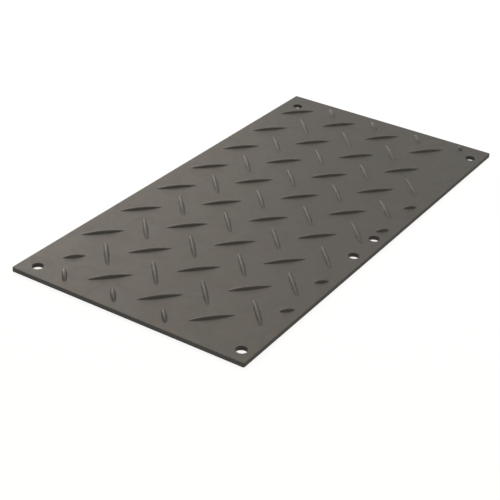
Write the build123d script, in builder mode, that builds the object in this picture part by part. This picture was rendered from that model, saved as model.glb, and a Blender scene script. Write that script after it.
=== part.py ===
"""Ground protection mat: one moulded sheet with a raised lens tread and six fixing holes.

Millimetres. X runs along the mat's length, Y across its width and Z up.
The origin is the middle of the underside, which lies flat on the ground.
"""
import os
from math import acos, degrees

from build123d import *

# Sheet
sheet_length = 1219.2
sheet_width = 609.6
sheet_thickness = 11.0
corner_round = 4.0
edge_chamfer = 1.0

# Fixing holes
hole_diameter = 25.4
hole_rim_chamfer = 1.5
left_hole_inset = 38.0
right_hole_inset = 62.0
near_hole_inset = 30.5
far_hole_inset = 42.0
joint_pair_spacing = 100.0

# Tread lens
lens_length = 106.0
lens_foot_width = 12.4
lens_shoulder_width = 8.8
lens_shoulder_drop = 1.8
lens_crest_width = 3.6
lens_height = 5.5
lens_turn = 41.0
lens_root = 2.0

# Short lenses, as high as the others: at the two ends, at the near side and by two of the holes
end_lens_length = 57.0
side_lens_length = 36.5
far_hole_lens_length = 53.0
near_hole_lens_length = 26.0

# Tread pattern: falling lenses run down to the right, rising lenses up to the right
column_pitch = 146.0
row_pitch = 134.5
tread_far_inset = 61.2
whole_columns = 8
whole_rows = 4
side_lens_columns = [1, 2, 4, 5]
end_lens_rows = [0, 1, 2]


def lens_solid(length):
    """One lens: the rim of a wheel with a blunted edge, standing out of the sheet."""
    wheel_radius = ((length / 2) ** 2 + lens_height**2) / (2 * lens_height)
    half_turn = degrees(acos(1 - (lens_height + lens_root / 2) / wheel_radius))
    shoulder_height = lens_height - lens_shoulder_drop
    flank_lean = (lens_foot_width - lens_shoulder_width) / 2 / shoulder_height
    root_width = lens_foot_width + 2 * flank_lean * lens_root
    axle = Axis((0, 0, lens_height - wheel_radius), (0, 1, 0))
    with BuildPart() as lens:
        with BuildSketch(Plane.YZ):
            with BuildLine():
                right_side = Polyline(
                    (lens_crest_width / 2, lens_height),
                    (lens_shoulder_width / 2, shoulder_height),
                    (root_width / 2, -lens_root),
                )
                left_side = mirror(right_side, about=Plane.YZ)
                Line(right_side @ 0, left_side @ 0)
                Line(right_side @ 1, left_side @ 1)
            make_face()
        revolve(axis=axle, revolution_arc=half_turn)
        mirror(about=Plane.YZ)
        split(bisect_by=Plane.XY)
    return lens.part


def falling_place(column, row):
    """Centre of a falling lens of the pattern, counted from the far left."""
    first_x = -column_pitch * (whole_columns - 1) / 2
    first_y = sheet_width / 2 - tread_far_inset
    return Vector(first_x + column * column_pitch, first_y - row * row_pitch)


def rising_place(column, row):
    """Centre of a rising lens, half a column before and half a row after the falling one."""
    return falling_place(column, row) - Vector(column_pitch / 2, row_pitch / 2)


def slid(place, length, turn, way):
    """Centre of a short lens of this length, one of whose tips is where the whole lens has it."""
    return place + Vector((lens_length - length) / 2, 0).rotate(Axis.Z, turn) * way


def tread_solid():
    """All the lenses of the pattern, short ones where a whole lens would run off the tread."""
    columns = range(whole_columns)
    rows = range(whole_rows)
    falling = [falling_place(c, r) for c in columns for r in rows if (c, r) != (0, 0)]
    rising = [rising_place(c, r) for c in columns[1:] for r in rows if (c, r) != (columns[-1], rows[-1])]
    left_end = [slid(rising_place(0, r), end_lens_length, lens_turn, 1) for r in end_lens_rows]
    right_end = [
        slid(rising_place(whole_columns, r), end_lens_length, lens_turn, -1) for r in end_lens_rows
    ]
    near_side = [
        slid(falling_place(c, whole_rows), side_lens_length, -lens_turn, -1) for c in side_lens_columns
    ]
    by_far_hole = slid(falling_place(0, 0), far_hole_lens_length, -lens_turn, 1)
    by_near_hole = rising_place(whole_columns, whole_rows - 1)
    groups = [
        (lens_length, -lens_turn, falling),
        (lens_length, lens_turn, rising),
        (end_lens_length, lens_turn, left_end + right_end),
        (side_lens_length, -lens_turn, near_side),
        (far_hole_lens_length, -lens_turn, [by_far_hole]),
        (near_hole_lens_length, lens_turn, [by_near_hole]),
    ]
    with BuildPart() as tread:
        for length, turn, places in groups:
            with Locations(*places):
                add(lens_solid(length), rotation=(0, 0, turn))
    return tread.part


def corner_holes():
    """Centres of the holes near the four corners."""
    left = -sheet_length / 2 + left_hole_inset
    right = sheet_length / 2 - right_hole_inset
    near = -sheet_width / 2 + near_hole_inset
    far = sheet_width / 2 - far_hole_inset
    return [(left, far), (right, far), (left, near), (right, near)]


def joint_pair_holes():
    """Centres of the two holes side by side on the near side, the second one at the middle."""
    near = -sheet_width / 2 + near_hole_inset
    return [(-joint_pair_spacing, near), (0, near)]


with BuildPart() as mat:
    with BuildSketch():
        RectangleRounded(sheet_length, sheet_width, corner_round)
        with Locations(*corner_holes(), *joint_pair_holes()):
            Circle(hole_diameter / 2, mode=Mode.SUBTRACT)
    extrude(amount=sheet_thickness)
    faces_up_and_down = mat.faces().filter_by(Axis.Z)
    outline_edges = [face.outer_wire().edges() for face in faces_up_and_down]
    rim_edges = [wire.edges() for face in faces_up_and_down for wire in face.inner_wires()]
    chamfer(outline_edges, length=edge_chamfer)
    chamfer(rim_edges, length=hole_rim_chamfer)
    with Locations((0, 0, sheet_thickness)):
        add(tread_solid())

mat.part.label = "mat"
os.makedirs("parts", exist_ok=True)
export_step(mat.part, "parts/mat.step")
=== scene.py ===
"""Ground protection mat: the moulded sheet with its lens tread, its finish, floor, light and camera.

Metres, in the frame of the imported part: the origin is the middle of the underside, X runs along the
mat, Y across it towards the far side and Z up.
"""
from math import acos, cos, pi, radians, sin, tan

import bpy
from mathutils import Matrix, Vector

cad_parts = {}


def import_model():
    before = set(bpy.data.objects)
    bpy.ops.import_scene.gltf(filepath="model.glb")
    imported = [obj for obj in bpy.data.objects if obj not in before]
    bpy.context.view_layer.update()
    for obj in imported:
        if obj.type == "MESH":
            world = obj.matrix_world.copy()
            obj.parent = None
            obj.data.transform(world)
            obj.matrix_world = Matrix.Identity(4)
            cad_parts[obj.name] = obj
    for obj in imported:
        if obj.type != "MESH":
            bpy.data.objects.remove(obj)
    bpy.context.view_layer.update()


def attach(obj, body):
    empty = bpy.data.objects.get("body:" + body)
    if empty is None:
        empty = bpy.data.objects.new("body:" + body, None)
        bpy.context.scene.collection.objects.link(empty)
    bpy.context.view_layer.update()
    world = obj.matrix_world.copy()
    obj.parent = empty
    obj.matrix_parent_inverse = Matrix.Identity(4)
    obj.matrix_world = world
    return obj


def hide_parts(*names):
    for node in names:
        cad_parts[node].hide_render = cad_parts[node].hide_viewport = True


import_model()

# Sheet
sheet_length = 1.2192
sheet_width = 0.6096
sheet_thickness = 0.011
corner_round = 0.004
edge_round = 0.001

# Fixing holes
hole_diameter = 0.0254
hole_rim_round = 0.0015
left_hole_inset = 0.038
right_hole_inset = 0.062
near_hole_inset = 0.0305
far_hole_inset = 0.042
joint_pair_spacing = 0.1

# Tread lens
lens_length = 0.106
lens_height = 0.0055
lens_root = 0.002
lens_turn = radians(41)

# Lens section: a round crest, steep flanks and small hollow feet that run out into the sheet
crest_round = 0.0052
flank_slope = radians(66)
foot_hollow = 0.002
foot_slope = radians(10)

# Short lenses, as high as the others: at the two ends, at the near side and by two of the holes
end_lens_length = 0.057
side_lens_length = 0.0365
far_hole_lens_length = 0.053
near_hole_lens_length = 0.026

# Tread pattern: falling lenses run down to the right, rising lenses up to the right
column_pitch = 0.146
row_pitch = 0.1345
tread_far_inset = 0.0612
whole_columns = 8
whole_rows = 4
side_lens_columns = [1, 2, 4, 5]
end_lens_rows = [0, 1, 2]

# How finely round shapes are divided
corner_steps = 6
edge_steps = 4
hole_sides = 64
lens_section_steps = 5
lens_length_steps = 28
smooth_angle = radians(30)

# Closer than this, two heights are the same, and a point lies on a hole's rim
same_height = 1e-6
on_rim = 1e-4

# Where the skin is rubbed, and painted lighter as a sheen: in from the outline, down from the top face,
# round the holes' rims, and down from the lenses' crests as a share of their height. The outermost
# share of it is sawn.
sheen_and_wear_width = 0.0022
sheen_and_wear_depth = 0.0018
full_sheen_and_wear_depth = 0.0004
sheen_and_wear_rim_width = 0.001
sheen_and_wear_crest_share = 0.3
sawn_share = 0.2

# Colours of the skin
brown_grey = (0.0352, 0.0290, 0.0242)
olive_grey = (0.0304, 0.0292, 0.0238)
flow_grey = (0.0268, 0.0243, 0.0204)
grain_grey = (0.0500, 0.0447, 0.0378)
sawn_grey = (0.0580, 0.0590, 0.0560)
# Lighter skin at edges and crests: partly rubbed wear, partly a painted sheen
sheen_and_wear_grey = (0.0760, 0.0710, 0.0620)

# Values of each pattern between which it comes to show in full
blotch_span = (0.38, 0.62)
flow_span = (0.3, 0.7)
grain_span = (0.35, 0.75)
patch_span = (0.42, 0.62)

# How much of each colour shows at most, and how glossy and rough the skin is
flow_share = 0.5
grain_share = 0.35
sheen_and_wear_share = 0.45
skin_gloss = 0.27
smoothest_skin = 0.38
roughest_skin = 0.46
rubbed_roughness = 0.08
sawn_roughness = 0.45

# Heights of the skin's waves, pits and grain
wave_height = 0.00025
pit_height = 0.00006
grain_height = 0.00002

# Floor and studio. Where the floor is seen it glows white, but for a share of its own shade.
floor_size = 40
floor_grey = (0.85, 0.85, 0.85)
floor_roughness = 0.9
floor_glow = 1.05
floor_glow_share = 0.8
studio_colour = (1.0, 0.952, 0.87)
studio_strength = 0.8
backdrop_colour = (1, 1, 1)
backdrop_strength = 1
wall_light_width = 2.2
wall_light_height = 3.4
wall_light_distance = 4

# Camera of the photograph
sensor_width = 36
focal_length = 91.76
sight_length = 100
eye_place = (-2.3882, -1.3732, 1.4737)
eye_turn = (radians(59.876), radians(-2.917), radians(-57.268))


def deselect_all():
    """Leaves edit mode and selects nothing."""
    if bpy.context.object and bpy.context.object.mode != "OBJECT":
        bpy.ops.object.mode_set(mode="OBJECT")
    bpy.ops.object.select_all(action="DESELECT")


def make_active(piece):
    """Selects this piece alone."""
    deselect_all()
    piece.select_set(True)
    bpy.context.view_layer.objects.active = piece


def apply_boolean(piece, tool, operation):
    """Adds the shape of tool to piece or cuts it out, and removes the tool."""
    make_active(piece)
    change = piece.modifiers.new(operation.lower(), "BOOLEAN")
    change.operation = operation
    change.solver = "EXACT"
    change.object = tool
    bpy.ops.object.modifier_apply(modifier=change.name)
    bpy.data.objects.remove(tool)


def copy_at(piece, place, turn):
    """A copy of piece with a mesh of its own, turned about Z and moved to place."""
    twin = piece.copy()
    twin.data = piece.data.copy()
    twin.data.transform(Matrix.Translation(place) @ Matrix.Rotation(turn, 4, "Z"))
    bpy.context.scene.collection.objects.link(twin)
    return twin


def joined(pieces, name):
    """All these pieces made one, under this name."""
    make_active(pieces[0])
    for piece in pieces[1:]:
        piece.select_set(True)
    bpy.ops.object.join()
    pieces[0].name = name
    return pieces[0]


def select_edges(piece, wanted):
    """In edit mode, selects only the edges whose two ends wanted accepts."""
    bpy.ops.mesh.select_mode(type="EDGE")
    bpy.ops.mesh.select_all(action="DESELECT")
    bpy.ops.object.mode_set(mode="OBJECT")
    points = [v.co for v in piece.data.vertices]
    for edge in piece.data.edges:
        edge.select = wanted(points[edge.vertices[0]], points[edge.vertices[1]])
    bpy.ops.object.mode_set(mode="EDIT")


def lens_section():
    """Half the section of a lens from its crest outwards, as points of across and up."""
    shares = [k / lens_section_steps for k in range(lens_section_steps + 1)]
    crest_turns = [flank_slope * share for share in shares]
    crest = [
        (crest_round * sin(turn), lens_height - crest_round * (1 - cos(turn))) for turn in crest_turns
    ]
    flank_start, flank_top = crest[-1]
    flank_bottom = foot_hollow * (cos(foot_slope) - cos(flank_slope))
    flank_end = flank_start + (flank_top - flank_bottom) / tan(flank_slope)
    hollow_middle = flank_end + foot_hollow * sin(flank_slope)
    foot_turns = [flank_slope + (foot_slope - flank_slope) * share for share in shares]
    foot = [
        (hollow_middle - foot_hollow * sin(turn), foot_hollow * (cos(foot_slope) - cos(turn)))
        for turn in foot_turns
    ]
    root = (foot[-1][0] + lens_root / tan(flank_slope), -lens_root)
    return crest + foot + [root]


def lens_piece(length):
    """One lens: its section, spun about the axle of the wheel that it is the rim of."""
    half = lens_section()
    section = [(-across, up) for across, up in reversed(half)] + half[1:]
    wheel_radius = ((length / 2) ** 2 + lens_height**2) / (2 * lens_height)
    half_turn = acos(1 - (lens_height + lens_root / 2) / wheel_radius)
    axle = Vector((0, 0, lens_height - wheel_radius))
    # A plane merged to one point starts the section, which is then drawn from point to point
    deselect_all()
    bpy.ops.mesh.primitive_plane_add(size=lens_height, location=(0, *section[0]))
    lens = bpy.context.object
    bpy.ops.object.transform_apply(location=True)
    bpy.ops.object.mode_set(mode="EDIT")
    bpy.ops.mesh.select_mode(type="VERT")
    bpy.ops.mesh.select_all(action="SELECT")
    bpy.ops.mesh.merge(type="CENTER")
    for start, end in zip(section, section[1:]):
        move = (0, end[0] - start[0], end[1] - start[1])
        bpy.ops.mesh.extrude_vertices_move(TRANSFORM_OT_translate={"value": move})
    bpy.ops.mesh.select_all(action="SELECT")
    bpy.ops.mesh.edge_face_add()
    bpy.ops.object.mode_set(mode="OBJECT")
    turned_back = Matrix.Rotation(half_turn, 4, "Y")
    lens.data.transform(Matrix.Translation(axle) @ turned_back @ Matrix.Translation(-axle))
    bpy.ops.object.mode_set(mode="EDIT")
    bpy.ops.mesh.select_all(action="SELECT")
    bpy.ops.mesh.spin(steps=lens_length_steps, angle=2 * half_turn, center=axle, axis=(0, 1, 0))
    bpy.ops.mesh.select_all(action="SELECT")
    bpy.ops.mesh.normals_make_consistent(inside=False)
    bpy.ops.object.mode_set(mode="OBJECT")
    return lens


def corner_holes():
    """Centres of the four corner holes: left far, right far, left near and right near."""
    left = -sheet_length / 2 + left_hole_inset
    right = sheet_length / 2 - right_hole_inset
    near = -sheet_width / 2 + near_hole_inset
    far = sheet_width / 2 - far_hole_inset
    return [(left, far), (right, far), (left, near), (right, near)]


def joint_pair_holes():
    """Centres of the two holes side by side on the near side, the second one at the middle."""
    near = -sheet_width / 2 + near_hole_inset
    return [(-joint_pair_spacing, near), (0, near)]


def block(name, low, high):
    """A box from its low corner to its high one."""
    deselect_all()
    size = Vector(high) - Vector(low)
    bpy.ops.mesh.primitive_cube_add(size=1, location=(Vector(low) + Vector(high)) / 2)
    piece = bpy.context.object
    piece.name = name
    piece.scale = size
    bpy.ops.object.transform_apply(location=True, scale=True)
    return piece


def falling_place(column, row):
    """Centre of a falling lens of the pattern, counted from the far left."""
    first_x = -column_pitch * (whole_columns - 1) / 2
    first_y = sheet_width / 2 - tread_far_inset
    return Vector((first_x + column * column_pitch, first_y - row * row_pitch, sheet_thickness))


def rising_place(column, row):
    """Centre of a rising lens, half a column before and half a row after the falling one."""
    return falling_place(column, row) - Vector((column_pitch / 2, row_pitch / 2, 0))


def slid(place, length, turn, way):
    """Centre of a short lens of this length, one of whose tips is where the whole lens has it."""
    return place + Matrix.Rotation(turn, 3, "Z") @ Vector(((lens_length - length) / 2 * way, 0, 0))


def tread_piece():
    """All the lenses of the pattern, short ones where a whole lens would run off the tread."""
    columns = range(whole_columns)
    rows = range(whole_rows)
    falling = [falling_place(c, r) for c in columns for r in rows if (c, r) != (0, 0)]
    last_rising = (columns[-1], rows[-1])
    rising = [rising_place(c, r) for c in columns[1:] for r in rows if (c, r) != last_rising]
    left_end = [slid(rising_place(0, r), end_lens_length, lens_turn, 1) for r in end_lens_rows]
    right_end = [
        slid(rising_place(whole_columns, r), end_lens_length, lens_turn, -1) for r in end_lens_rows
    ]
    near_side = [
        slid(falling_place(c, whole_rows), side_lens_length, -lens_turn, -1) for c in side_lens_columns
    ]
    by_far_hole = slid(falling_place(0, 0), far_hole_lens_length, -lens_turn, 1)
    by_near_hole = rising_place(whole_columns, whole_rows - 1)
    groups = [
        (lens_length, -lens_turn, falling),
        (lens_length, lens_turn, rising),
        (end_lens_length, lens_turn, left_end + right_end),
        (side_lens_length, -lens_turn, near_side),
        (far_hole_lens_length, -lens_turn, [by_far_hole]),
        (near_hole_lens_length, lens_turn, [by_near_hole]),
    ]
    lenses = []
    for length, turn, places in groups:
        lens = lens_piece(length)
        lenses += [copy_at(lens, place, turn) for place in places]
        bpy.data.objects.remove(lens)
    return joined(lenses, "tread")


def sheet_piece():
    """The bare sheet, with its corners and edges rounded."""
    sheet = block(
        "moulded_mat",
        (-sheet_length / 2, -sheet_width / 2, 0),
        (sheet_length / 2, sheet_width / 2, sheet_thickness),
    )
    make_active(sheet)
    bpy.ops.object.mode_set(mode="EDIT")
    select_edges(sheet, lambda a, b: abs(a.z - b.z) > sheet_thickness / 2)
    bpy.ops.mesh.bevel(offset=corner_round, segments=corner_steps, affect="EDGES")
    select_edges(sheet, lambda a, b: abs(a.z - b.z) < same_height)
    bpy.ops.mesh.bevel(offset=edge_round, segments=edge_steps, affect="EDGES")
    bpy.ops.object.mode_set(mode="OBJECT")
    return sheet


def make_holes(sheet, holes):
    """Cuts a hole through the sheet at each of these places and rounds its two rims."""
    for x, y in holes:
        deselect_all()
        bpy.ops.mesh.primitive_cylinder_add(
            vertices=hole_sides,
            radius=hole_diameter / 2,
            depth=3 * sheet_thickness,
            location=(x, y, sheet_thickness / 2),
        )
        drill = bpy.context.object
        bpy.ops.object.transform_apply(location=True)
        apply_boolean(sheet, drill, "DIFFERENCE")

    def off_rim(point, hole):
        """How far a point lies off the rim of this hole."""
        return abs((point.xy - Vector(hole)).length - hole_diameter / 2)

    def rim_edge(a, b):
        """True where both ends are level and on the rim of one hole."""
        if abs(a.z - b.z) > same_height:
            return False
        return any(off_rim(a, hole) < on_rim and off_rim(b, hole) < on_rim for hole in holes)

    make_active(sheet)
    bpy.ops.object.mode_set(mode="EDIT")
    select_edges(sheet, rim_edge)
    bpy.ops.mesh.bevel(offset=hole_rim_round, segments=edge_steps, affect="EDGES")
    bpy.ops.object.mode_set(mode="OBJECT")


def mat_piece():
    """The sheet with its holes and its tread as one mesh, smooth but for its sharp edges."""
    mat = sheet_piece()
    make_holes(mat, corner_holes() + joint_pair_holes())
    apply_boolean(mat, tread_piece(), "UNION")
    make_active(mat)
    bpy.ops.object.shade_smooth_by_angle(angle=smooth_angle)
    weighting = mat.modifiers.new("weighting", "WEIGHTED_NORMAL")
    weighting.keep_sharp = True
    weighting.weight = 100
    bpy.ops.object.modifier_apply(modifier=weighting.name)
    return mat


def plastic():
    """Dark warm grey polyethylene: a grained satin skin, faint flow marks, edges and crests rubbed and
    painted lighter as a sheen, sawn sides.
    """
    material = bpy.data.materials.new("moulded_sheet")
    material.use_nodes = True
    nodes, links = material.node_tree.nodes, material.node_tree.links
    shader = nodes["Principled BSDF"]
    shader.inputs["Specular IOR Level"].default_value = skin_gloss
    places = nodes.new("ShaderNodeTexCoord").outputs["Object"]

    def noise(per_metre, detail, distortion=0.0):
        """A pattern with this many lumps to the metre, from 0 to 1."""
        texture = nodes.new("ShaderNodeTexNoise")
        texture.inputs["Scale"].default_value = per_metre
        texture.inputs["Detail"].default_value = detail
        texture.inputs["Distortion"].default_value = distortion
        links.new(places, texture.inputs["Vector"])
        return texture.outputs["Fac"]

    def ramp(value, start, end, low=0.0, high=1.0):
        """Value taken from start..end to low..high."""
        node = nodes.new("ShaderNodeMapRange")
        ends = {"From Min": start, "From Max": end, "To Min": low, "To Max": high}
        for name, number in ends.items():
            node.inputs[name].default_value = number
        links.new(value, node.inputs["Value"])
        return node.outputs["Result"]

    def maths(operation, first, second=0.0):
        """The operation on two values, each a number or a socket."""
        node = nodes.new("ShaderNodeMath")
        node.operation = operation
        for socket, value in zip(node.inputs, (first, second)):
            if isinstance(value, (int, float)):
                socket.default_value = value
            else:
                links.new(value, socket)
        return node.outputs[0]

    def blend(share, first, second):
        """First colour where share is 0, second where it is 1."""
        node = nodes.new("ShaderNodeMix")
        node.data_type = "RGBA"
        links.new(share, node.inputs[0])
        for socket, colour in zip(node.inputs[6:8], (first, second)):
            if isinstance(colour, tuple):
                socket.default_value = colour + (1,)
            else:
                links.new(colour, socket)
        return node.outputs[2]

    def bump(height, distance, below=None):
        """Relief of this height in metres, laid over what is below."""
        node = nodes.new("ShaderNodeBump")
        node.inputs["Distance"].default_value = distance
        links.new(height, node.inputs["Height"])
        if below:
            links.new(below, node.inputs["Normal"])
        return node.outputs["Normal"]

    blotches = noise(per_metre=7, detail=2)
    flow_marks = noise(per_metre=24, detail=5, distortion=1.5)
    waves = noise(per_metre=30, detail=1)
    pits = noise(per_metre=260, detail=3)
    grain = noise(per_metre=900, detail=2)

    split = nodes.new("ShaderNodeSeparateXYZ")
    links.new(places, split.inputs[0])
    x, y, z = split.outputs
    half_length, half_width = sheet_length / 2, sheet_width / 2
    at_end = ramp(maths("ABSOLUTE", x), half_length - sheen_and_wear_width, half_length)
    at_side = ramp(maths("ABSOLUTE", y), half_width - sheen_and_wear_width, half_width)
    at_edge = maths("MAXIMUM", at_end, at_side)
    sawn_side = ramp(at_edge, 1 - sawn_share, 1)

    level = nodes.new("ShaderNodeCombineXYZ")
    links.new(x, level.inputs[0])
    links.new(y, level.inputs[1])
    rim = hole_diameter / 2 + hole_rim_round
    for hole in corner_holes() + joint_pair_holes():
        from_hole = nodes.new("ShaderNodeVectorMath")
        from_hole.operation = "DISTANCE"
        from_hole.inputs[1].default_value = (*hole, 0)
        links.new(level.outputs[0], from_hole.inputs[0])
        at_rim = ramp(from_hole.outputs["Value"], rim + sheen_and_wear_rim_width, rim - sheen_and_wear_rim_width)
        at_edge = maths("MAXIMUM", at_edge, at_rim)

    crest_top = sheet_thickness + lens_height
    at_crest = ramp(z, crest_top - sheen_and_wear_crest_share * lens_height, crest_top)
    at_top = ramp(z, sheet_thickness - sheen_and_wear_depth, sheet_thickness - full_sheen_and_wear_depth)
    # Lighter along the outline, the holes' rims and the lenses' crests: partly rubbed wear, partly
    # painted sheen
    sheen_and_wear_places = maths("MAXIMUM", maths("MULTIPLY", at_edge, at_top), at_crest)
    patchy = ramp(noise(per_metre=90, detail=6), *patch_span)
    wear_and_sheen = maths("MULTIPLY", sheen_and_wear_places, patchy)

    skin = blend(ramp(blotches, *blotch_span), brown_grey, olive_grey)
    skin = blend(ramp(flow_marks, *flow_span, 0, flow_share), skin, flow_grey)
    skin = blend(ramp(grain, *grain_span, 0, grain_share), skin, grain_grey)
    skin = blend(sawn_side, skin, sawn_grey)
    # Painted sheen and wear: the rubbed places are lightened
    skin = blend(maths("MULTIPLY", wear_and_sheen, sheen_and_wear_share), skin, sheen_and_wear_grey)
    links.new(skin, shader.inputs["Base Color"])

    roughness = ramp(flow_marks, *flow_span, smoothest_skin, roughest_skin)
    roughness = maths("ADD", roughness, maths("MULTIPLY", wear_and_sheen, rubbed_roughness))
    roughness = maths("ADD", roughness, maths("MULTIPLY", sawn_side, sawn_roughness))
    links.new(roughness, shader.inputs["Roughness"])

    relief = bump(waves, wave_height)
    relief = bump(pits, pit_height, relief)
    relief = bump(grain, grain_height, relief)
    links.new(relief, shader.inputs["Normal"])
    return material


def soft_box(name, place, target, width, height, radiance, colour):
    """An even light of this size at place, turned towards target."""
    data = bpy.data.lights.new(name, "AREA")
    data.shape = "RECTANGLE"
    data.size = width
    data.size_y = height
    data.energy = radiance * pi * width * height
    data.color = colour
    lamp = bpy.data.objects.new(name, data)
    lamp.location = place
    lamp.rotation_euler = (Vector(target) - Vector(place)).to_track_quat("-Z", "Y").to_euler()
    bpy.context.scene.collection.objects.link(lamp)


def wall_light(name, azimuth, radiance, colour):
    """A soft box that stands on the floor at this azimuth and faces the mat."""
    middle = (0, 0, wall_light_height / 2)
    place = (wall_light_distance * cos(azimuth), wall_light_distance * sin(azimuth), middle[2])
    soft_box(name, place, middle, wall_light_width, wall_light_height, radiance, colour)


def camera():
    """The photograph's camera, above the near left corner of the mat."""
    data = bpy.data.cameras.new("camera")
    data.sensor_width = sensor_width
    data.lens = focal_length
    data.clip_end = sight_length
    eye = bpy.data.objects.new("camera", data)
    eye.location = eye_place
    eye.rotation_euler = eye_turn
    bpy.context.scene.collection.objects.link(eye)
    bpy.context.scene.camera = eye


def seen_directly(nodes, links):
    """1 for the camera's own rays and for those by way of a glossy or clear surface, else 0."""
    path = nodes.new("ShaderNodeLightPath")
    seen = path.outputs["Is Camera Ray"]
    for ray in ("Is Glossy Ray", "Is Transmission Ray"):
        either = nodes.new("ShaderNodeMath")
        either.operation = "MAXIMUM"
        links.new(seen, either.inputs[0])
        links.new(path.outputs[ray], either.inputs[1])
        seen = either.outputs[0]
    return seen


def mixed(nodes, links, share, first, second):
    """First shader where share is 0, second where it is 1."""
    mix = nodes.new("ShaderNodeMixShader")
    for socket, part in zip(mix.inputs, (share, first.outputs[0], second.outputs[0])):
        links.new(part, socket)
    return mix.outputs[0]


def floor():
    """A pale floor that is seen as white and keeps the mat's shadow."""
    deselect_all()
    bpy.ops.mesh.primitive_plane_add(size=floor_size, location=(0, 0, 0))
    ground = bpy.context.object
    ground.name = "floor"
    material = bpy.data.materials.new("floor")
    material.use_nodes = True
    nodes, links = material.node_tree.nodes, material.node_tree.links
    shader = nodes["Principled BSDF"]
    shader.inputs["Base Color"].default_value = (*floor_grey, 1)
    shader.inputs["Roughness"].default_value = floor_roughness
    glow = nodes.new("ShaderNodeEmission")
    glow.inputs["Strength"].default_value = floor_glow
    share = nodes.new("ShaderNodeMath")
    share.operation = "MULTIPLY"
    share.inputs[1].default_value = floor_glow_share
    links.new(seen_directly(nodes, links), share.inputs[0])
    seen = mixed(nodes, links, share.outputs[0], shader, glow)
    links.new(seen, nodes["Material Output"].inputs["Surface"])
    ground.data.materials.append(material)


def world():
    """A soft, slightly warm light from all round, which is seen as white."""
    studio = bpy.data.worlds.new("studio")
    bpy.context.scene.world = studio
    studio.use_nodes = True
    nodes, links = studio.node_tree.nodes, studio.node_tree.links
    light = nodes["Background"]
    light.inputs["Color"].default_value = (*studio_colour, 1)
    light.inputs["Strength"].default_value = studio_strength
    backdrop = nodes.new("ShaderNodeBackground")
    backdrop.inputs["Color"].default_value = (*backdrop_colour, 1)
    backdrop.inputs["Strength"].default_value = backdrop_strength
    seen = mixed(nodes, links, seen_directly(nodes, links), light, backdrop)
    links.new(seen, nodes["World Output"].inputs["Surface"])


mat = mat_piece()
mat.data.materials.clear()
mat.data.materials.append(plastic())
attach(mat, "root")
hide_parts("mat")

floor()
world()
wall_light("far_wall", azimuth=radians(48), radiance=1.16, colour=(1.0, 0.87, 0.69))
wall_light("left_wall", azimuth=radians(64), radiance=1.81, colour=(1.0, 0.95, 0.84))
soft_box(
    "far_box",
    place=(2.2, 1.3, 3.6),
    target=(0, 0, 0),
    width=3.0,
    height=2.0,
    radiance=3.5,
    colour=(1.0, 0.88, 0.76),
)
camera()
bpy.context.scene.view_settings.view_transform = "Standard"
